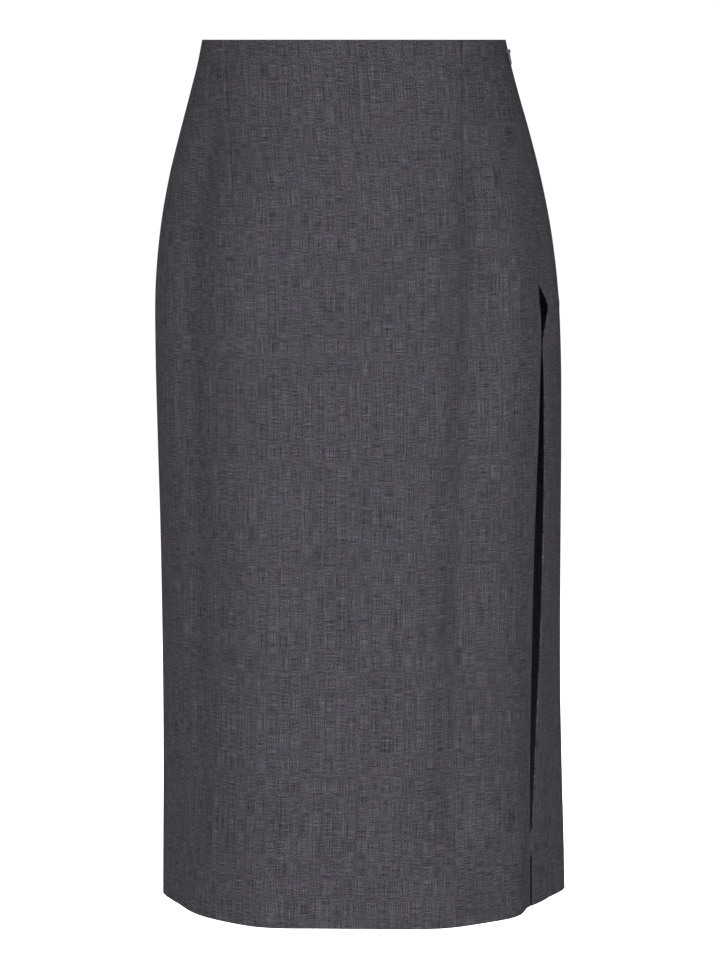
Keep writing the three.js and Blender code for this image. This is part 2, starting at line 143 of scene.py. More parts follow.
# How far from its edge the cloth starts to round over, and how deep a seam's edge dips.
FREE_REACH = 0.75
SEAM_REACH = 0.65
SEAM_DIP = 0.5

# Where the slit closes its edges are pressed thin, and the back's is tucked under the front's.
PRESSED_EDGE = 0.6
TUCK_REACH = 2.8
TUCK_DEPTH = 1.5
# Below this height, the strip of the back's edge within TUCK_WIDTH of the slit takes a near-black
# material. It is painted shadow standing for the shade in the closed slit's gap.
TUCK_PAINTED_SHADOW_BELOW = -664
TUCK_WIDTH = 6

# Places of the rows and columns of the cloth's grid, by their distance from an edge or a dart.
EDGE_STEPS = (0, 0.1, 0.37, 0.75, 1.5, 3, 6, 10, 14.4, 15.4, 20, 25, 29.4, 30.6, 35)
SEAM_STEPS = (0, 0.1, 0.37, 0.75, 1.5, 3, 6, 10, 14.4, 15.4, 20)
DART_STEPS = (0, 0.45, 1, 1.8, 3, 5, 8)
ROW_PITCHES = (
    {"to": -24, "pitch": 2.2},
    {"to": -190, "pitch": 4.4},
    {"to": -246, "pitch": 2.6},
    {"to": -665, "pitch": 4.6},
)
HEM_STEPS = (41, 38.6, 37.4, 33, 28, 23, 18, 13, 8, 4.5, 2.5, 1.3, 0.75, 0.37, 0.1, 0)
WAIST_STEPS = (0, 0.1, 0.37, 0.75, 1.5, 3)

# The zip
ZIP_TOP = -4
ZIP_BOTTOM = -188
ZIP_FACE = 2.05
TAPE_REACH = 10
COIL_PITCH = 1.35
SLIDER_Z = -9.6
EYE_OUT = 1.6
SADDLE_WIDTH = 7.4
SADDLE_HEIGHT = 9.5
CHANNEL = 5.1
COIL_FACE = -3.05
SADDLE_INSIDE = -5.1
SADDLE_FLOOR = -6.1
NECK_HEIGHT = 3.4
NECK_WIDTH = 1.0
EYE_HOLE = 0.8
NOTCH_REACH = 0.8

# The camera, found from the photograph: at the waist's height, looking slightly down.
CAMERA_PLACE = (0.005, -2.9, 0.0)
CAMERA_TILT = 7.131
FOCAL_PIXELS = 3540
PICTURE_HEIGHT = 965
SENSOR = 36


class SkirtCloth(bpy.types.PropertyGroup):
    """Sizes and colours of the suiting."""

    single: bpy.props.FloatProperty(
        name="Single cloth", description="Thickness of one layer of the suiting",
        default=0.0008, min=0.0002, max=0.002, unit="LENGTH")
    turned: bpy.props.FloatProperty(
        name="Turned cloth", description="Thickness where an edge is turned in",
        default=0.0016, min=0.0006, max=0.003, unit="LENGTH")
    waist_turning: bpy.props.FloatProperty(
        name="Waist turning", description="Depth of the turning inside the waist edge",
        default=0.014, min=0.005, max=0.04, unit="LENGTH")
    hem_turning: bpy.props.FloatProperty(
        name="Hem turning", description="Depth of the hem inside the lower edge",
        default=0.038, min=0.01, max=0.06, unit="LENGTH")
    slit_turning: bpy.props.FloatProperty(
        name="Slit turning", description="Width of the turning along each side of the slit",
        default=0.030, min=0.01, max=0.05, unit="LENGTH")
    seam_allowance: bpy.props.FloatProperty(
        name="Seam allowance", description="Width of the cloth left inside a seam",
        default=0.015, min=0.006, max=0.03, unit="LENGTH")
    dark_yarn: bpy.props.FloatVectorProperty(
        name="Dark yarn", description="Colour of the darkest yarn", subtype="COLOR",
        default=(0.0023, 0.0021, 0.0026), min=0, max=1)
    light_yarn: bpy.props.FloatVectorProperty(
        name="Light yarn", description="Colour of the lightest yarn", subtype="COLOR",
        default=(0.0470, 0.0439, 0.0514), min=0, max=1)
    inside_colour: bpy.props.FloatVectorProperty(
        name="Inside", description="Colour of the cloth's dark inner face", subtype="COLOR",
        default=(0.0062, 0.006, 0.0066), min=0, max=1)


class SkirtZip(bpy.types.PropertyGroup):
    """Sizes and colours of the concealed zip."""

    tape_thickness: bpy.props.FloatProperty(
        name="Tape", description="Thickness of the woven zip tape",
        default=0.0007, min=0.0003, max=0.0012, unit="LENGTH")
    coil_wire: bpy.props.FloatProperty(
        name="Coil wire", description="Thickness of the nylon coil",
        default=0.0006, min=0.0003, max=0.001, unit="LENGTH")
    pull_length: bpy.props.FloatProperty(
        name="Pull", description="Length of the pull tab", default=0.0116, min=0.006, max=0.02,
        unit="LENGTH")
    tape_colour: bpy.props.FloatVectorProperty(
        name="Tape colour", description="Colour of the zip tape", subtype="COLOR",
        default=(0.017, 0.017, 0.019), min=0, max=1)
    coil_colour: bpy.props.FloatVectorProperty(
        name="Coil colour", description="Colour of the nylon coil", subtype="COLOR",
        default=(0.021, 0.021, 0.024), min=0, max=1)
    metal_colour: bpy.props.FloatVectorProperty(
        name="Metal colour", description="Colour of the slider's enamel", subtype="COLOR",
        default=(0.026, 0.026, 0.029), min=0, max=1)


class SkirtStage(bpy.types.PropertyGroup):
    """The studio round the skirt."""

    floor_drop: bpy.props.FloatProperty(
        name="Floor", description="Depth of the floor below the waist", default=1.04, min=0.8, max=2,
        unit="LENGTH")
    surround: bpy.props.FloatProperty(
        name="Surround", description="Brightness of the even light all round", default=1.04, min=0,
        max=3)
    key: bpy.props.FloatProperty(
        name="Key light", description="Power of the wide light at the front", default=470, min=0,
        max=500, unit="POWER")
    left: bpy.props.FloatProperty(
        name="Left light", description="Power of the light behind the picture's left side",
        default=190, min=0, max=500, unit="POWER")
    right: bpy.props.FloatProperty(
        name="Right light", description="Power of the light behind the picture's right side",
        default=135, min=0, max=500, unit="POWER")


def curve(table, column, z):
    """A table's column at heights z: a smooth curve through its rows, which run downwards."""
    down = np.array([-row["z"] for row in table], float)
    value = np.array([row[column] for row in table], float)
    slope = np.diff(value) / np.diff(down)
    tangent = np.concatenate([slope[:1], (slope[1:] + slope[:-1]) / 2, slope[-1:]])
    at = np.clip(-np.asarray(z, float), down[0], down[-1])
    i = np.clip(np.searchsorted(down, at, side="right") - 1, 0, len(slope) - 1)
    span = down[i + 1] - down[i]
    t = (at - down[i]) / span
    return (
        (2 * t**3 - 3 * t**2 + 1) * value[i] + (t**3 - 2 * t**2 + t) * span * tangent[i]
        + (3 * t**2 - 2 * t**3) * value[i + 1] + (t**3 - t**2) * span * tangent[i + 1]
    )


def ramp(value, low, high):
    """0 below low and 1 above high, with a soft change between."""
    t = np.clip((value - low) / (high - low), 0, 1)
    return t * t * (3 - 2 * t)


def bell(angle, middle, spread):
    off = (angle - middle + 180) % 360 - 180
    return np.exp(-0.5 * (off / spread) ** 2)


def fold_push(angle, z):
    """How far the soft folds push the cloth out."""
    push = 0
    for fold in FOLDS:
        fade = ramp(-z, -fold["start"], -fold["full"]) * (1 - ramp(-z, -fold["hold"], -fold["stop"]))
        along = np.clip((fold["start"] - z) / (fold["start"] - fold["stop"]), 0, 1)
        middle = fold["bottom"] + (fold["top"] - fold["bottom"]) * (1 - along) ** fold["bend"]
        push = push + fold["push"] * fade * bell(angle, middle, fold["spread"])
    return push


def outer_point(angle, z, with_folds=True):
    """The cloth's outer face in millimetres, for arrays of angles and heights."""
    angle, z = np.broadcast_arrays(np.asarray(angle, float), np.asarray(z, float))
    row = {column: curve(SECTIONS, column, z) for column in SECTION_COLUMNS[1:]}
    sine, cosine = np.sin(np.radians(angle)), np.cos(np.radians(angle))
    power = row["square"]
    size = (np.abs(sine) ** power + np.abs(cosine) ** power) ** (-1 / power)
    x = (row["left"] + row["right"]) / 2 * size * sine
    y = -np.where(cosine > 0, row["front"], row["back"]) * size * cosine
    push = fold_push(angle, z) if with_folds else 0
    for place in PUSHES:
        push = push + row[place["column"]] * bell(angle, place["angle"], place["spread"])
    scale = 1 + push / np.hypot(x, y)
    return np.stack([(row["right"] - row["left"]) / 2 + x * scale, y * scale, z], -1)


def unit(vectors):
    return vectors / np.linalg.norm(vectors, axis=-1, keepdims=True)


def cloth_frame(angle, z):
    """Unit directions on the cloth: round it, up along it and straight out of it."""
    turn, rise = 0.4, 2
    round_it = outer_point(angle + turn, z) - outer_point(angle - turn, z)
    up = outer_point(angle, np.minimum(0, z + rise)) - outer_point(angle, np.maximum(-LENGTH, z - rise))
    return unit(round_it), unit(up), unit(np.cross(round_it, up))


def below(angle, z, depth):
    """Points at a depth under the outer face, measured across the wall and moved level."""
    out = cloth_frame(angle, z)[2]
    level = np.hypot(out[..., 0], out[..., 1])
    away = np.stack([out[..., 0] / level, out[..., 1] / level, np.zeros_like(level)], -1)
    return outer_point(angle, z) - away * (depth / level)[..., None]


def angle_across(across, z, side, with_folds):
    """The angle where the outline is that far across from the Z axis."""
    across, z = np.broadcast_arrays(np.asarray(across, float), np.asarray(z, float))
    start, end = (-88.0, 88.0) if side == "front" else (268.0, 92.0)
    low, high = np.full(z.shape, start), np.full(z.shape, end)
    for _ in range(36):
        middle = (low + high) / 2
        short = outer_point(middle, z, with_folds)[..., 0] < across
        low, high = np.where(short, middle, low), np.where(short, high, middle)
    return (low + high) / 2


def degrees_for(length, angle, z):
    """Degrees of angle that take up a length of cloth."""
    step = outer_point(angle + 0.5, z) - outer_point(angle - 0.5, z)
    return length / np.linalg.norm(step, axis=-1)


def zip_seam(z):
    return curve(ZIP_SEAM, "angle", z)


def left_edge(z, side):
    """The edge of a panel at the zip seam and the slit, as an angle at each height."""
    away = -1 if side == "front" else 1
    seam = zip_seam(z)
    notch = NOTCH_REACH * np.exp(-(((z - SLIDER_Z) / 2.6) ** 4))
    sewn = seam + degrees_for(away * (0.04 + notch), seam, z)
    free = angle_across(curve(SLIT, side, z), z, "front", False)
    free = free + np.where(z < SLIT_CLOSED, degrees_for(away * 0.08, free, z), 0)
    if side == "back":
        under = angle_across(curve(SLIT, "front", z), z, "front", False)
        free = free + (under - degrees_for(TUCK_REACH, under, z) - free) * tucked(z)
    return np.where(z > SLIT_TOP, sewn, free)


def tucked(z):
    """How far the back's edge is tucked under the front's, from 0 to 1, where the slit closes."""
    return ramp(-z, 640, 655)


def right_edge(z, side):
    away = 1 if side == "front" else -1
    turn = 0 if side == "front" else 360
    return turn + RIGHT_SEAM_ANGLE + degrees_for(away * 0.04, RIGHT_SEAM_ANGLE, z)


def dart_line(dart, z, side):
    along = np.minimum(1, -z / dart["length"])
    return angle_across(dart["top"] + (dart["tip"] - dart["top"]) * along, z, side, True)


def row_heights():
    heights = [-step for step in WAIST_STEPS]
    for band in ROW_PITCHES:
        count = max(1, round((heights[-1] - band["to"]) / band["pitch"]))
        heights += list(np.linspace(heights[-1], band["to"], count + 1)[1:])
    return np.array(heights + [-LENGTH + step for step in HEM_STEPS])


def columns_between(lines, z, steps, pitch):
    """Angles of the grid's columns between each two lines, with the distance of each column from
    the line at its start and from the line at its end, where it is one of the close ones."""
    angles, from_start, from_end = [], [], []
    for i in range(len(lines) - 1):
        start, end = lines[i], lines[i + 1]
        near = [start + degrees_for(step, start, z) for step in steps[i][0]]
        far = [end - degrees_for(step, end, z) for step in steps[i][1]]
        middle = len(z) // 2
        width = (far[-1] - near[-1])[middle] / degrees_for(1, near[-1], z)[middle]
        count = max(1, round(width / pitch))
        inner = [near[-1] + (far[-1] - near[-1]) * k / count for k in range(1, count)]
        last = i == len(lines) - 2
        columns = near + inner + far[::-1][: None if last else -1]
        angles += columns
        close = list(steps[i][0]) + [1e3] * (len(columns) - len(near))
        ends = ([1e3] * (len(near) + len(inner)) + list(steps[i][1])[::-1])[: len(columns)]
        from_start += [(i, step) for step in close]
        from_end += [(i + 1, step) for step in ends]
    return np.stack(angles, 1), from_start, from_end


def distance_from(line, from_start, from_end):
    """Signed distance of every column from one of the lines, large where it isn't close."""
    after = np.array([step if i == line else 1e3 for i, step in from_start])
    before = np.array([step if i == line else 1e3 for i, step in from_end])
    return np.where(before < after, -before, after)


def shell(name, outer, inner, along, materials, inner_material, outer_material=None):
    """A closed cloth shell from its outer and inner grids, which share their edge points. along is
    the flat place of each grid point, and inner_material says which inner faces are dark."""
    rows, columns = outer.shape[:2]
    outside = np.arange(rows * columns).reshape(rows, columns)
    inside = outside.copy()
    inside[1:-1, 1:-1] = rows * columns + np.arange((rows - 2) * (columns - 2)).reshape(rows - 2, -1)
    points = np.concatenate([outer.reshape(-1, 3), inner[1:-1, 1:-1].reshape(-1, 3)]) * MM
    flat = np.concatenate([along.reshape(-1, 2), along[1:-1, 1:-1].reshape(-1, 2)]) * MM

    def quads(grid):
        return np.stack([grid[:-1, :-1], grid[1:, :-1], grid[1:, 1:], grid[:-1, 1:]], -1).reshape(-1, 4)

    faces = np.concatenate([quads(outside), quads(inside)[:, ::-1]])
    mesh = bpy.data.meshes.new(name)
    mesh.from_pydata(points.tolist(), [], faces.tolist())
    uv = mesh.uv_layers.new(name="cloth")
    uv.data.foreach_set("uv", flat[faces.ravel()].ravel())
    for material in materials:
        mesh.materials.append(material)
    if outer_material is None:
        outer_material = np.zeros_like(inner_material)
    use = np.concatenate([outer_material.ravel(), inner_material.ravel()])
    mesh.polygons.foreach_set("material_index", use.astype(np.int32))
    mesh.polygons.foreach_set("use_smooth", np.ones(len(faces), bool))
    mesh.update()
    piece = bpy.data.objects.new(name, mesh)
    bpy.context.scene.collection.objects.link(piece)
    return piece


def flat_place(points, middle):
    """Where each grid point lies on the flat cloth: across from the middle column, and down."""
    step = np.linalg.norm(np.diff(points, axis=1), axis=-1)
    across = np.concatenate([np.zeros((len(points), 1)), np.cumsum(step, 1)], 1)
    return np.stack([across - across[:, middle : middle + 1], points[..., 2]], -1)


def edge_profile(distance, reach):
    """How far a rounded edge has opened to its full thickness: 0 at the edge, 1 past its reach."""
    left = 1 - np.minimum(np.abs(distance) / reach, 1)
    return np.sqrt(1 - left**2)


def sew_panel(name, side, cloth, materials):
    """One panel of the skirt as a shell with turned edges, seam allowances and sewn darts."""
    z = row_heights()
    darts = DARTS[side]
    dart_lines = [dart_line(dart, z, side) for dart in darts]
    if side == "front":
        lines = [right_edge(z, side), *dart_lines, left_edge(z, side)]
        edges = (SEAM_STEPS, EDGE_STEPS)
    else:
        lines = [left_edge(z, side), *dart_lines, right_edge(z, side)]
        edges = (EDGE_STEPS, SEAM_STEPS)
    steps = [(edges[0], DART_STEPS), (DART_STEPS, DART_STEPS), (DART_STEPS, edges[1])]
    angles, from_start, from_end = columns_between(lines, z, steps, 4.6)
    heights = np.repeat(z[:, None], angles.shape[1], 1)
    first, last = distance_from(0, from_start, from_end), -distance_from(3, from_start, from_end)
    slit_side = np.repeat((last if side == "front" else first)[None], len(z), 0)
    seam_side = np.repeat((first if side == "front" else last)[None], len(z), 0)
    from_waist, from_hem = -heights, heights + LENGTH
    is_slit = ramp(-heights, -SLIT_TOP - 4, -SLIT_TOP + 6)

    # the sewn darts sink into the outer face, with the pressed fold as a slight ridge beside them
    sink = np.zeros_like(heights)
    fold = np.zeros_like(heights)
    for number, dart in enumerate(darts):
        off = distance_from(number + 1, from_start, from_end)[None] * dart["pressed"]
        left = np.clip((dart["length"] + heights) / DART_TAPER, 0, 1)
        uneven = 1 + 0.25 * np.sin(heights / 5.3) + 0.2 * np.sin(heights / 2.1 + number)
        sink += DART_SINK * left * uneven * np.exp(-((off / DART_WIDTH) ** 2))
        sink -= DART_RIDGE * left * ramp(off, 0.8, 2.4) * (1 - ramp(off, 4, 9))
        fold = np.maximum(fold, left * ramp(off, 0.2, 0.9) * (1 - ramp(off, 8, 9)))
    # seams draw the cloth in a little, unevenly
    for off in (slit_side * (1 - is_slit) + 1e3 * is_slit, seam_side):
        pucker = 0.16 * np.sin(heights / 3.4) + 0.12 * np.sin(heights / 7.7 + 1) + 0.14
        sink += pucker * np.exp(-((off / 5) ** 2))

    pressed = is_slit * ramp(-heights, 628, 648) * (1 - ramp(slit_side, 2, 7))
    single = cloth.single / MM
    turned = cloth.turned / MM * (1 - pressed) + PRESSED_EDGE * pressed
    turning = np.maximum.reduce([
        1 - ramp(from_waist, cloth.waist_turning / MM - 1, cloth.waist_turning / MM),
        1 - ramp(from_hem, cloth.hem_turning / MM - 0.6, cloth.hem_turning / MM + 0.6),
        is_slit * (1 - ramp(slit_side, cloth.slit_turning / MM - 0.6, cloth.slit_turning / MM + 0.6)),
        (1 - is_slit) * (1 - ramp(slit_side, cloth.seam_allowance / MM - 0.6,
                                  cloth.seam_allowance / MM + 0.4)),
        1 - ramp(seam_side, cloth.seam_allowance / MM - 0.6, cloth.seam_allowance / MM + 0.4),
        fold,
    ])
    # the cloth keeps its thickness under a dart's line, where the sewn intake lies behind it
    thickness = np.maximum(single + (turned - single) * turning, sink + single)

    # free edges round over half their thickness, sewn ones only dip into the seam
    choices = np.stack([from_waist / FREE_REACH, from_hem / FREE_REACH,
                        slit_side / (SEAM_REACH + (FREE_REACH - SEAM_REACH) * is_slit),
                        seam_side / SEAM_REACH])
    nearest = choices.argmin(0)
    slit_dip = SEAM_DIP + (turned / 2 - SEAM_DIP) * is_slit
    dip = np.choose(nearest, [turned / 2, turned / 2, slit_dip, SEAM_DIP])
    opened = edge_profile(choices.min(0), 1)
    tuck = np.zeros_like(heights)
    shaded = np.zeros((len(z) - 1, angles.shape[1] - 1), int)
    if side == "back":
        tuck = TUCK_DEPTH * tucked(heights) * np.clip((TUCK_WIDTH - slit_side) / 3, 0, 1)
        # the tucked strip near the back's slit edge, low down, takes the third material: a near-black
        # painted shadow for the gap between the slit's edges
        in_painted_shadow = heights[:-1, :-1] < TUCK_PAINTED_SHADOW_BELOW
        shaded = 2 * (in_painted_shadow & (slit_side[:-1, 1:] <= TUCK_WIDTH)).astype(int)
    outer = below(angles, heights, dip * (1 - opened) + sink * opened + tuck)
    inner = below(angles, heights, dip + (thickness - dip) * opened + tuck)
    middle = int(np.abs(angles[len(z) // 2] - (0 if side == "front" else 180)).argmin())
    dark = (turning[:-1, :-1] + turning[1:, 1:] < 1).astype(int)
    return shell(name, outer, inner, flat_place(outer, middle), materials, dark, shaded)


def node_in(tree, kind, at, inputs=(), **settings):
    """A new node with its settings, and its inputs set or linked by name or number."""
    node = tree.nodes.new(kind)
    node.location = (at[0] * 200, at[1] * 160)
    for key, value in settings.items():
        setattr(node, key, value)
    for key, value in dict(inputs).items():
        socket = node.inputs[key]
        if isinstance(value, bpy.types.NodeSocket):
            tree.links.new(value, socket)
        else:
            socket.default_value = value
    return node


def thread_group():
    """The suiting's melange: short dark and light runs of yarn along the warp and the weft over the
    fine plain weave. It reads the flat cloth in metres and puts out a shade, the tint of single
    yarns, the tint of wide patches and a height."""
    tree = bpy.data.node_groups.new("yarn_runs", "ShaderNodeTree")
    tree.interface.new_socket("Cloth place", in_out="INPUT", socket_type="NodeSocketVector")
    for label, default in (("Yarns per metre", 2000), ("Contrast", 1.0)):
        socket = tree.interface.new_socket(label, in_out="INPUT", socket_type="NodeSocketFloat")
        socket.default_value = default
    for label in ("Shade", "Tint", "Patch", "Height"):
        tree.interface.new_socket(label, in_out="OUTPUT", socket_type="NodeSocketFloat")
    given = node_in(tree, "NodeGroupInput", (-8, 0))
    yarns = node_in(tree, "ShaderNodeVectorMath", (-7, 0), {
        0: given.outputs["Cloth place"], "Scale": given.outputs["Yarns per metre"]},
        operation="SCALE").outputs[0]

    def noise(squeeze, shift, detail, at):
        """Noise stretched by its squeeze across and down the cloth, in yarns."""
        placed = node_in(tree, "ShaderNodeMapping", at, {
            "Vector": yarns, "Location": (shift, shift, 0), "Scale": (*squeeze, 1)})
        return node_in(tree, "ShaderNodeTexNoise", (at[0] + 1, at[1]), {
            "Vector": placed.outputs[0], "Scale": 1, "Detail": detail, "Roughness": 0.6},
            noise_dimensions="2D").outputs["Fac"]

    def weighted(value, weight, total, at):
        """Adds a noise, centred on nothing and weighted, to a running total."""
        off = node_in(tree, "ShaderNodeMath", at, {0: value, 1: 0.5}, operation="SUBTRACT")
        return node_in(tree, "ShaderNodeMath", (at[0] + 1, at[1]), {
            0: off.outputs[0], 1: weight, 2: total}, operation="MULTIPLY_ADD").outputs[0]

    strong = node_in(tree, "ShaderNodeMapRange", (-5, 5), {
        0: noise((0.035, 0.028), 7, 1, (-7, 5)), 1: 0.36, 2: 0.64, 3: 0.6, 4: 1.0}).outputs[0]
    other = node_in(tree, "ShaderNodeMath", (-4, 5), {0: 1.66, 1: strong}, operation="SUBTRACT")
    total = weighted(noise((1.0, 0.03), 0, 0, (-6, 3)), strong, 0, (-3, 3))
    total = weighted(noise((0.055, 0.96), 31, 0, (-6, 2)), other.outputs[0], total, (-3, 2))
    total = weighted(noise((0.95, 0.006), 57, 0, (-6, 1)), 0.55, total, (-3, 1))
    total = weighted(noise((0.012, 0.98), 83, 0, (-6, 0)), 0.48, total, (-3, 0))
    total = weighted(noise((0.74, 0.7), 19, 0, (-6, -1)), 1.8, total, (-3, -1))
    total = weighted(noise((0.04, 0.03), 43, 2, (-6, -2)), 0.07, total, (-3, -2))
    shade = node_in(tree, "ShaderNodeMath", (1, 0), {
        0: total, 1: given.outputs["Contrast"], 2: 0.5}, operation="MULTIPLY_ADD", use_clamp=True)
    # squared, so that light and dark yarns stand out alike to the eye
    seen = node_in(tree, "ShaderNodeMath", (2, 0), {0: shade.outputs[0], 1: 2.0}, operation="POWER")
    tint = noise((0.2, 0.16), 71, 1, (-6, -3))
    patch = noise((0.026, 0.022), 11, 3, (-6, -4))

    apart = node_in(tree, "ShaderNodeSeparateXYZ", (-5, -5), {0: yarns})

    def wave(value, at):
        turned = node_in(tree, "ShaderNodeMath", at, {0: value, 1: math.pi}, operation="MULTIPLY")
        return node_in(tree, "ShaderNodeMath", (at[0] + 1, at[1]), {0: turned.outputs[0]},
                       operation="SINE").outputs[0]

    weave = node_in(tree, "ShaderNodeMath", (0, -5), {
        0: wave(apart.outputs["X"], (-4, -5)), 1: wave(apart.outputs["Y"], (-4, -6))},
        operation="MULTIPLY")
    height = node_in(tree, "ShaderNodeMath", (2, -4), {
        0: weave.outputs[0], 1: 0.25, 2: shade.outputs[0]}, operation="MULTIPLY_ADD")
    node_in(tree, "NodeGroupOutput", (3, 0), {
        "Shade": seen.outputs[0], "Tint": tint, "Patch": patch, "Height": height.outputs[0]})
    return tree


def group(name, make):
    return bpy.data.node_groups.get(name) or make()


def suiting_material(name, dark, light, contrast, bump, **surface):
    """A woven material on the cloth's own UV map."""
    material = bpy.data.materials.new(name)
    material.use_nodes = True
    tree = material.node_tree
    tree.nodes.clear()
    place = node_in(tree, "ShaderNodeUVMap", (-4, 0), uv_map="cloth")
    yarn = node_in(tree, "ShaderNodeGroup", (-3, 0), node_tree=group("yarn_runs", thread_group))
    tree.links.new(place.outputs[0], yarn.inputs["Cloth place"])
    yarn.inputs["Contrast"].default_value = contrast
    colour = node_in(tree, "ShaderNodeMix", (-2, 1), {0: yarn.outputs["Shade"]}, data_type="RGBA")
    colour.inputs[6].default_value = (*dark, 1)
    colour.inputs[7].default_value = (*light, 1)
    tinted = colour
    for step, (output, start, end) in enumerate((
        ("Tint", (0.95, 1.0, 1.06), (1.05, 1.0, 0.94)),
        ("Patch", (0.955, 1.06, 0.97), (1.045, 0.94, 1.03)),
    )):
        tint = node_in(tree, "ShaderNodeMix", (-2, 3 + step), {0: yarn.outputs[output]},
                       data_type="RGBA")
        tint.inputs[6].default_value = (*start, 1)
        tint.inputs[7].default_value = (*end, 1)
        tinted = node_in(tree, "ShaderNodeMix", (-1, 1 + step), {0: 1.0, 6: tinted.outputs[2],
                         7: tint.outputs[2]}, data_type="RGBA", blend_type="MULTIPLY")
    rough = node_in(tree, "ShaderNodeMapRange", (-2, -1),
                    {0: yarn.outputs["Shade"], 3: 0.96, 4: 0.84})
    raised = node_in(tree, "ShaderNodeBump", (-2, -2),
                     {"Strength": bump, "Distance": 0.0003, "Height": yarn.outputs["Height"]})
    shader = node_in(tree, "ShaderNodeBsdfPrincipled", (0, 0), {
        "Base Color": tinted.outputs[2], "Roughness": rough.outputs[0],
        "Normal": raised.outputs[0], **surface,
    })
    node_in(tree, "ShaderNodeOutputMaterial", (2, 0), {0: shader.outputs[0]})
    return material


def hard_material(name, colour, roughness, specular, speckle):
    """Enamel or nylon, slightly uneven in its gloss and colour."""
    material = bpy.data.materials.new(name)
    material.use_nodes = True
    tree = material.node_tree
    tree.nodes.clear()
    place = node_in(tree, "ShaderNodeTexCoord", (-4, 0))
    noise = node_in(tree, "ShaderNodeTexNoise", (-3, 0),
                    {"Vector": place.outputs["Object"], "Scale": 1400, "Detail": 3})
    tint = node_in(tree, "ShaderNodeMix", (-2, 1), {0: noise.outputs["Fac"]}, data_type="RGBA")
    tint.inputs[6].default_value = (*(channel * (1 - speckle) for channel in colour), 1)
    tint.inputs[7].default_value = (*(channel * (1 + speckle) for channel in colour), 1)
    gloss = node_in(tree, "ShaderNodeMapRange", (-2, -1),
                    {0: noise.outputs["Fac"], 3: roughness - 0.08, 4: roughness + 0.08})
    raised = node_in(tree, "ShaderNodeBump", (-2, -2),
                     {"Strength": 0.15, "Distance": 0.00004, "Height": noise.outputs["Fac"]})
    shader = node_in(tree, "ShaderNodeBsdfPrincipled", (0, 0), {
        "Base Color": tint.outputs[2], "Roughness": gloss.outputs[0],
        "Specular IOR Level": specular, "Normal": raised.outputs[0],
    })
    node_in(tree, "ShaderNodeOutputMaterial", (2, 0), {0: shader.outputs[0]})
    return material


def material_once(name, make, *values, **settings):
    return bpy.data.materials.get(name) or make(name, *values, **settings)


def slider_frame():
    """The slider's own frame on the seam, in millimetres: x across it, y up along it, z out."""
    def on_seam(z):
        return outer_point(zip_seam(z), z)

    reach = SADDLE_HEIGHT / 2
    along = unit(on_seam(SLIDER_Z + reach) - on_seam(SLIDER_Z - reach))
    out = cloth_frame(zip_seam(SLIDER_Z), np.float64(SLIDER_Z))[2]
    round_it = unit(np.cross(along, out))
    up = np.cross(out, round_it)
    matrix = Matrix([(*row, 0) for row in np.stack([round_it, up, out], 1).tolist()] + [(0, 0, 0, 1)])
    matrix.translation = Vector(on_seam(SLIDER_Z).tolist())
    return matrix


def start_piece(add, **settings):
    """Deselects everything and adds one primitive, which is then the active object."""
    bpy.ops.object.select_all(action="DESELECT")
    add(**settings)
    return bpy.context.object


def edit(piece, mode, choose):
    """Enters edit mode on a piece with only the chosen faces, edges or points selected."""
    mesh = piece.data
    bpy.ops.object.mode_set(mode="OBJECT")
    for part in (*mesh.vertices, *mesh.edges, *mesh.polygons):
        part.select = False
    parts = {"FACE": mesh.polygons, "EDGE": mesh.edges, "VERT": mesh.vertices}[mode]
    for part in parts:
        part.select = choose(part)
    bpy.ops.object.mode_set(mode="EDIT")
    bpy.ops.mesh.select_mode(type=mode)


def finish_edit(piece):
    bpy.ops.object.mode_set(mode="OBJECT")
    return piece


def cut_across(piece, point, normal):
    """Cuts a line right round a piece on one plane."""
    edit(piece, "FACE", lambda face: True)
    bpy.ops.mesh.bisect(plane_co=point, plane_no=normal)
    finish_edit(piece)


def soften(piece, width, segments=2):
    """Rounds the sharp edges of a piece, and shades it smooth."""
    bevel = piece.modifiers.new("soft_edges", "BEVEL")
    bevel.width = width
    bevel.segments = segments
    bevel.limit_method = "ANGLE"
    bpy.context.view_layer.objects.active = piece
    bpy.ops.object.modifier_apply(modifier=bevel.name)
    bpy.ops.object.select_all(action="DESELECT")
    piece.select_set(True)
    bpy.ops.object.shade_smooth_by_angle(angle=math.radians(40))


def joined(pieces, name):
    bpy.ops.object.select_all(action="DESELECT")
    for piece in pieces:
        piece.select_set(True)
    bpy.context.view_layer.objects.active = pieces[0]
    bpy.ops.object.join()
    pieces[0].name = name
    pieces[0].data.name = name
    return pieces[0]


def settle(piece, matrix):
    """Moves a piece made in a frame of millimetres to its place in metres, and leaves its object at
    the origin."""
    piece.data.transform(Matrix.Scale(MM, 4) @ matrix @ piece.matrix_world)
    piece.matrix_world = Matrix.Identity(4)
    return piece


class SKIRT_OT_sew_panels(bpy.types.Operator):
    """Cuts and sews the front and the back of the skirt over their solids"""

    bl_idname = "skirt.sew_panels"
    bl_label = "Sew the panels"

    def execute(self, context):
        cloth = context.scene.skirt_cloth
        outside = material_once("melange_suiting", suiting_material, cloth.dark_yarn,
                                cloth.light_yarn, 0.40, 0.35, **{"Specular IOR Level": 0.0})
        inside = material_once("dark_inner_face", suiting_material,
                               tuple(0.75 * c for c in cloth.inside_colour),
                               tuple(1.9 * c for c in cloth.inside_colour), 0.6, 0.2,
                               **{"Specular IOR Level": 0.05})
        # near-black painted shadow for the tucked strip, standing for the shade in the closed slit's
        # gap
        shadow = material_once("tucked_edge", suiting_material, cloth.dark_yarn,
                               tuple(0.15 * c for c in cloth.light_yarn), 0.3, 0.2,
                               **{"Specular IOR Level": 0.0})
        front = sew_panel("front_cloth", "front", cloth, (outside, inside))
        back = sew_panel("back_cloth", "back", cloth, (outside, inside, shadow))
        for piece, node, flat, area in ((front, "front_panel", (0.38, 0.717), 0.255),
                                        (back, "back_panel", (0.561, 0.725), 0.377)):
            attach(piece, "skirt")
            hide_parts(node)
        return {"FINISHED"}


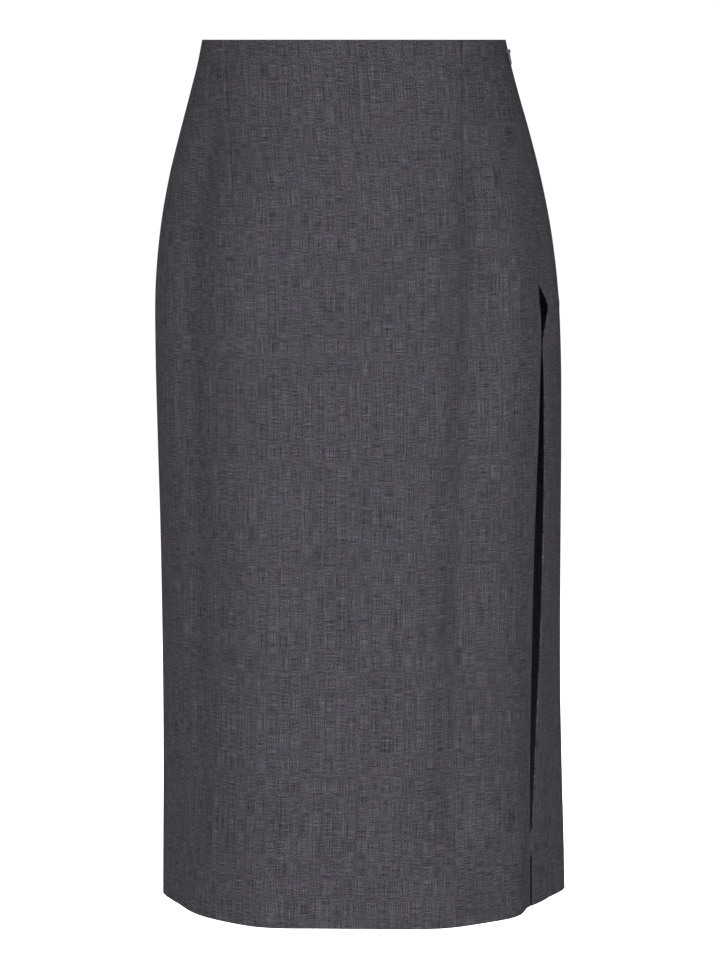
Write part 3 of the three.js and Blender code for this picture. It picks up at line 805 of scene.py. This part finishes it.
class SKIRT_OT_fit_tapes(bpy.types.Operator):
    """Lays the two woven tapes of the zip along the inside of its seam"""

    bl_idname = "skirt.fit_tapes"
    bl_label = "Fit the zip tapes"

    def execute(self, context):
        settings = context.scene.skirt_zip
        tape = material_once("zip_tape_weave", suiting_material,
                             tuple(0.7 * c for c in settings.tape_colour),
                             tuple(1.3 * c for c in settings.tape_colour), 1.2, 0.5,
                             **{"Specular IOR Level": 0.2})
        z = np.linspace(ZIP_TOP, ZIP_BOTTOM, 84)
        z = np.concatenate([z[:1], z[:1] - 0.3, z[1:-1], z[-1:] + 0.3, z[-1:]])
        seam = zip_seam(z)
        thick = settings.tape_thickness / MM
        for name, side in (("zip_tape_front", -1), ("zip_tape_back", 1)):
            across = np.array((0.15, 0.3, 0.6, 1.5, 2.6, 4, 5.5, 7, 8.5, 9.4, 9.7, TAPE_REACH)) * side
            across = across[:: side]
            angles = np.stack([seam + degrees_for(step, seam, z) for step in across], 1)
            heights = np.repeat(z[:, None], angles.shape[1], 1)
            rim = np.minimum.reduce([
                np.repeat(np.abs(across - across[0])[None], len(z), 0),
                np.repeat(np.abs(across - across[-1])[None], len(z), 0),
                np.abs(heights - ZIP_TOP), np.abs(heights - ZIP_BOTTOM),
            ])
            opened = edge_profile(rim, 0.3)
            hole = 0.25 * np.exp(-(((heights - SLIDER_Z) / 3) ** 2)) * (np.abs(across) < 1.6)
            angles = angles + degrees_for(side * hole * 2, angles, heights)
            outer = below(angles, heights, ZIP_FACE + thick / 2 * (1 - opened))
            inner = below(angles, heights, ZIP_FACE + thick / 2 * (1 + opened))
            plain = np.zeros((len(z) - 1, len(across) - 1), int)
            piece = shell(name, outer, inner, flat_place(outer, 0), (tape,), plain)
            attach(piece, "skirt")
        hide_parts("zip_chain")
        return {"FINISHED"}


class SKIRT_OT_wind_coils(bpy.types.Operator):
    """Winds the nylon coil on each tape: one loop is modelled and copied down the seam"""

    bl_idname = "skirt.wind_coils"
    bl_label = "Wind the coils"

    def execute(self, context):
        settings = context.scene.skirt_zip
        nylon = material_once("coil_nylon", hard_material, settings.coil_colour, 0.42, 0.15, 0.12)
        wire = settings.coil_wire / MM / 2
        loop = start_piece(bpy.ops.mesh.primitive_torus_add, major_segments=12, minor_segments=5,
                           major_radius=1, minor_radius=wire)
        edit(loop, "VERT", lambda point: True)
        bpy.ops.transform.rotate(value=math.pi / 2, orient_axis="X", center_override=(0, 0, 0))
        finish_edit(loop)
        base = np.array([point.co for point in loop.data.vertices])
        ring = unit(base * (1, 0, 1))
        base = base + ring * (0.28, 0, -0.32)
        polygons = np.array([face.vertices for face in loop.data.polygons])
        bpy.data.objects.remove(loop)
        floor = ZIP_FACE + settings.tape_thickness / MM
        points, faces = [], []
        count = int((ZIP_TOP - ZIP_BOTTOM - 4) / COIL_PITCH)
        for number in range(count):
            for side in (-1, 1):
                z = ZIP_TOP - 2 - (number + (0.5 if side > 0 else 0)) * COIL_PITCH
                seam = zip_seam(z)
                round_it, up, out = cloth_frame(seam, np.float64(z))
                centre = below(seam, np.float64(z), np.float64(floor + 0.72)) + round_it * side * 0.85
                lean = base + np.outer(base[:, 0] * side, (0, 0.22, 0))
                points.append(centre + lean @ np.stack([round_it, up, out]))
                faces.append(polygons + len(base) * len(faces))
        mesh = bpy.data.meshes.new("zip_coils")
        mesh.from_pydata((np.concatenate(points) * MM).tolist(), [], np.concatenate(faces).tolist())
        mesh.polygons.foreach_set("use_smooth", np.ones(len(mesh.polygons), bool))
        mesh.materials.append(nylon)
        mesh.update()
        coils = bpy.data.objects.new("zip_coils", mesh)
        context.scene.collection.objects.link(coils)
        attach(coils, "skirt")
        return {"FINISHED"}


class SKIRT_OT_fit_slider(bpy.types.Operator):
    """Makes the slider: a saddle over the coils inside, and a neck with an eye outside"""

    bl_idname = "skirt.fit_slider"
    bl_label = "Fit the slider"

    def execute(self, context):
        settings = context.scene.skirt_zip
        enamel = material_once("slider_enamel", hard_material, settings.metal_colour, 0.6, 0.0, 0.1)
        rails_top = COIL_FACE - 0.35
        saddle = start_piece(bpy.ops.mesh.primitive_cube_add, size=1,
                             location=(0, 0, (SADDLE_FLOOR + SADDLE_INSIDE) / 2),
                             scale=(SADDLE_WIDTH, SADDLE_HEIGHT, SADDLE_INSIDE - SADDLE_FLOOR))
        settle(saddle, Matrix.Scale(1 / MM, 4))
        for side in (-1, 1):
            cut_across(saddle, (side * CHANNEL / 2, 0, 0), (1, 0, 0))
        edit(saddle, "FACE", lambda face: face.normal.z > 0.9 and abs(face.center.x) > CHANNEL / 2)
        bpy.ops.mesh.extrude_region_move(
            TRANSFORM_OT_translate={"value": (0, 0, rails_top - SADDLE_INSIDE)})
        finish_edit(saddle)
        soften(saddle, 0.35, 3)

        blade_floor = SADDLE_INSIDE - 0.4
        neck = start_piece(bpy.ops.mesh.primitive_cube_add, size=1,
                           location=(0, 0, (blade_floor + EYE_OUT - EYE_HOLE - 0.3) / 2),
                           scale=(NECK_WIDTH, NECK_HEIGHT, EYE_OUT - EYE_HOLE - 0.3 - blade_floor))
        settle(neck, Matrix.Scale(1 / MM, 4))
        soften(neck, 0.18)

        eye = start_piece(bpy.ops.mesh.primitive_cylinder_add, vertices=32, radius=NECK_HEIGHT / 2,
                          depth=NECK_WIDTH)
        edit(eye, "FACE", lambda face: abs(face.normal.z) > 0.9)
        bpy.ops.mesh.inset(thickness=NECK_HEIGHT / 2 - EYE_HOLE)
        bpy.ops.mesh.bridge_edge_loops()
        bpy.ops.mesh.select_all(action="SELECT")
        bpy.ops.transform.rotate(value=math.pi / 2, orient_axis="Y", center_override=(0, 0, 0))
        bpy.ops.transform.translate(value=(0, 0, EYE_OUT))
        bpy.ops.mesh.normals_make_consistent(inside=False)
        finish_edit(eye)
        soften(eye, 0.16)

        slider = settle(joined([saddle, neck, eye], "zip_slider_body"), slider_frame())
        slider.data.materials.append(enamel)
        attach(slider, "skirt")
        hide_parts("zip_slider")
        return {"FINISHED"}


class SKIRT_OT_hang_pull(bpy.types.Operator):
    """Makes the pull tab, with its window round the slider's eye"""

    bl_idname = "skirt.hang_pull"
    bl_label = "Hang the pull"

    def execute(self, context):
        settings = context.scene.skirt_zip
        enamel = material_once("slider_enamel", hard_material, settings.metal_colour, 0.6, 0.0, 0.1)
        bar, window, thick = 0.5, (1.2, -2.2), 1.0
        low = bar - settings.pull_length / MM
        tab = start_piece(bpy.ops.mesh.primitive_cube_add, size=1, location=(0, (bar + low) / 2, 0),
                          scale=(4.4, bar - low, thick))
        settle(tab, Matrix.Scale(1 / MM, 4))
        for across in (-window[0], window[0]):
            cut_across(tab, (across, 0, 0), (1, 0, 0))
        for height in (-bar, window[1], -4.4, -8.4, -10.2, low + 0.35):
            cut_across(tab, (0, height, 0), (0, 1, 0))

        def in_window(face):
            return (abs(face.normal.z) > 0.9 and abs(face.center.x) < window[0]
                    and window[1] < face.center.y < -bar)

        edit(tab, "FACE", in_window)
        bpy.ops.mesh.bridge_edge_loops()
        finish_edit(tab)
        for height, width in ((-4.4, 0.8), (-8.4, 0.96), (-10.2, 0.86), (low + 0.35, 0.52), (low, 0.3)):
            edit(tab, "VERT", lambda point: abs(point.co.y - height) < 1e-3)
            bpy.ops.transform.resize(value=(width, 1, 1), center_override=(0, height, 0))
            finish_edit(tab)
        edit(tab, "FACE", lambda face: True)
        bpy.ops.mesh.normals_make_consistent(inside=False)
        finish_edit(tab)
        soften(tab, 0.2)
        tab.name = tab.data.name = "zip_pull_tab"
        settle(tab, slider_frame() @ Matrix.Translation((0, 0, EYE_OUT)))
        tab.data.materials.append(enamel)
        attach(tab, "pull")
        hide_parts("zip_pull")
        return {"FINISHED"}


class SKIRT_OT_set_stage(bpy.types.Operator):
    """Lays the pale floor, and sets the soft lights and the camera"""

    bl_idname = "skirt.set_stage"
    bl_label = "Set the stage"

    def execute(self, context):
        stage = context.scene.skirt_stage
        floor = start_piece(bpy.ops.mesh.primitive_circle_add, vertices=96, radius=40,
                            fill_type="NGON", location=(0, 0, -stage.floor_drop))
        floor.name = "pale_floor"
        pale = bpy.data.materials.new("pale_floor")
        pale.use_nodes = True
        shader = pale.node_tree.nodes["Principled BSDF"]
        shader.inputs["Base Color"].default_value = (0.97, 0.97, 0.97, 1)
        shader.inputs["Roughness"].default_value = 0.9
        shader.inputs["Specular IOR Level"].default_value = 0.1
        floor.data.materials.append(pale)

        world = bpy.data.worlds.new("even_light")
        world.use_nodes = True
        sky = world.node_tree.nodes["Background"]
        sky.inputs["Color"].default_value = (1, 1, 1, 1)
        sky.inputs["Strength"].default_value = stage.surround
        context.scene.world = world

        for name, place, size, power in (
            ("key_light", (0.1, -3.35, -0.25), 2.0, stage.key),
            ("left_light", (-2.4, 2.0, 0.1), 1.5, stage.left),
            ("right_light", (2.4, 2.0, 0.0), 1.5, stage.right),
        ):
            light = bpy.data.lights.new(name, "AREA")
            light.shape = "SQUARE"
            light.size = size
            light.energy = power
            lamp = bpy.data.objects.new(name, light)
            lamp.location = place
            aim = Vector((0, 0, -0.35)) - Vector(place)
            lamp.rotation_euler = aim.to_track_quat("-Z", "Y").to_euler()
            context.scene.collection.objects.link(lamp)

        view = context.scene.view_settings
        view.view_transform = "Standard"
        view.look = "None"
        camera = bpy.data.objects.new("photo_camera", bpy.data.cameras.new("photo_camera"))
        camera.data.sensor_width = SENSOR
        camera.data.lens = SENSOR * FOCAL_PIXELS / PICTURE_HEIGHT
        camera.data.clip_end = 100
        camera.location = CAMERA_PLACE
        camera.rotation_euler = (math.radians(90 - CAMERA_TILT), 0, 0)
        context.scene.collection.objects.link(camera)
        context.scene.camera = camera
        return {"FINISHED"}


class SKIRT_PT_panel(bpy.types.Panel):
    """Lists the skirt's settings and the buttons that make its pieces"""

    bl_idname = "SKIRT_PT_panel"
    bl_label = "Pencil skirt"
    bl_space_type = "VIEW_3D"
    bl_region_type = "UI"
    bl_category = "Skirt"

    def draw(self, context):
        scene = context.scene
        for settings in (scene.skirt_cloth, scene.skirt_zip, scene.skirt_stage):
            box = self.layout.box()
            for key in settings.__annotations__:
                box.prop(settings, key)
        for operator in OPERATORS:
            self.layout.operator(operator.bl_idname)


SETTINGS = {"skirt_cloth": SkirtCloth, "skirt_zip": SkirtZip, "skirt_stage": SkirtStage}
OPERATORS = (
    SKIRT_OT_set_stage,
    SKIRT_OT_sew_panels,
    SKIRT_OT_fit_tapes,
    SKIRT_OT_wind_coils,
    SKIRT_OT_fit_slider,
    SKIRT_OT_hang_pull,
)
CLASSES = (*SETTINGS.values(), *OPERATORS, SKIRT_PT_panel)


def register():
    for cls in CLASSES:
        bpy.utils.register_class(cls)
    for name, cls in SETTINGS.items():
        setattr(bpy.types.Scene, name, bpy.props.PointerProperty(type=cls))


def unregister():
    for name in SETTINGS:
        delattr(bpy.types.Scene, name)
    for cls in reversed(CLASSES):
        bpy.utils.unregister_class(cls)


def plain(box):
    return [[float(value) for value in corner] for corner in box]


def main():
    register()
    bpy.ops.skirt.set_stage()
    bpy.ops.skirt.sew_panels()
    bpy.ops.skirt.fit_tapes()
    bpy.ops.skirt.wind_coils()
    bpy.ops.skirt.fit_slider()
    bpy.ops.skirt.hang_pull()


if __name__ == "__main__":
    main()
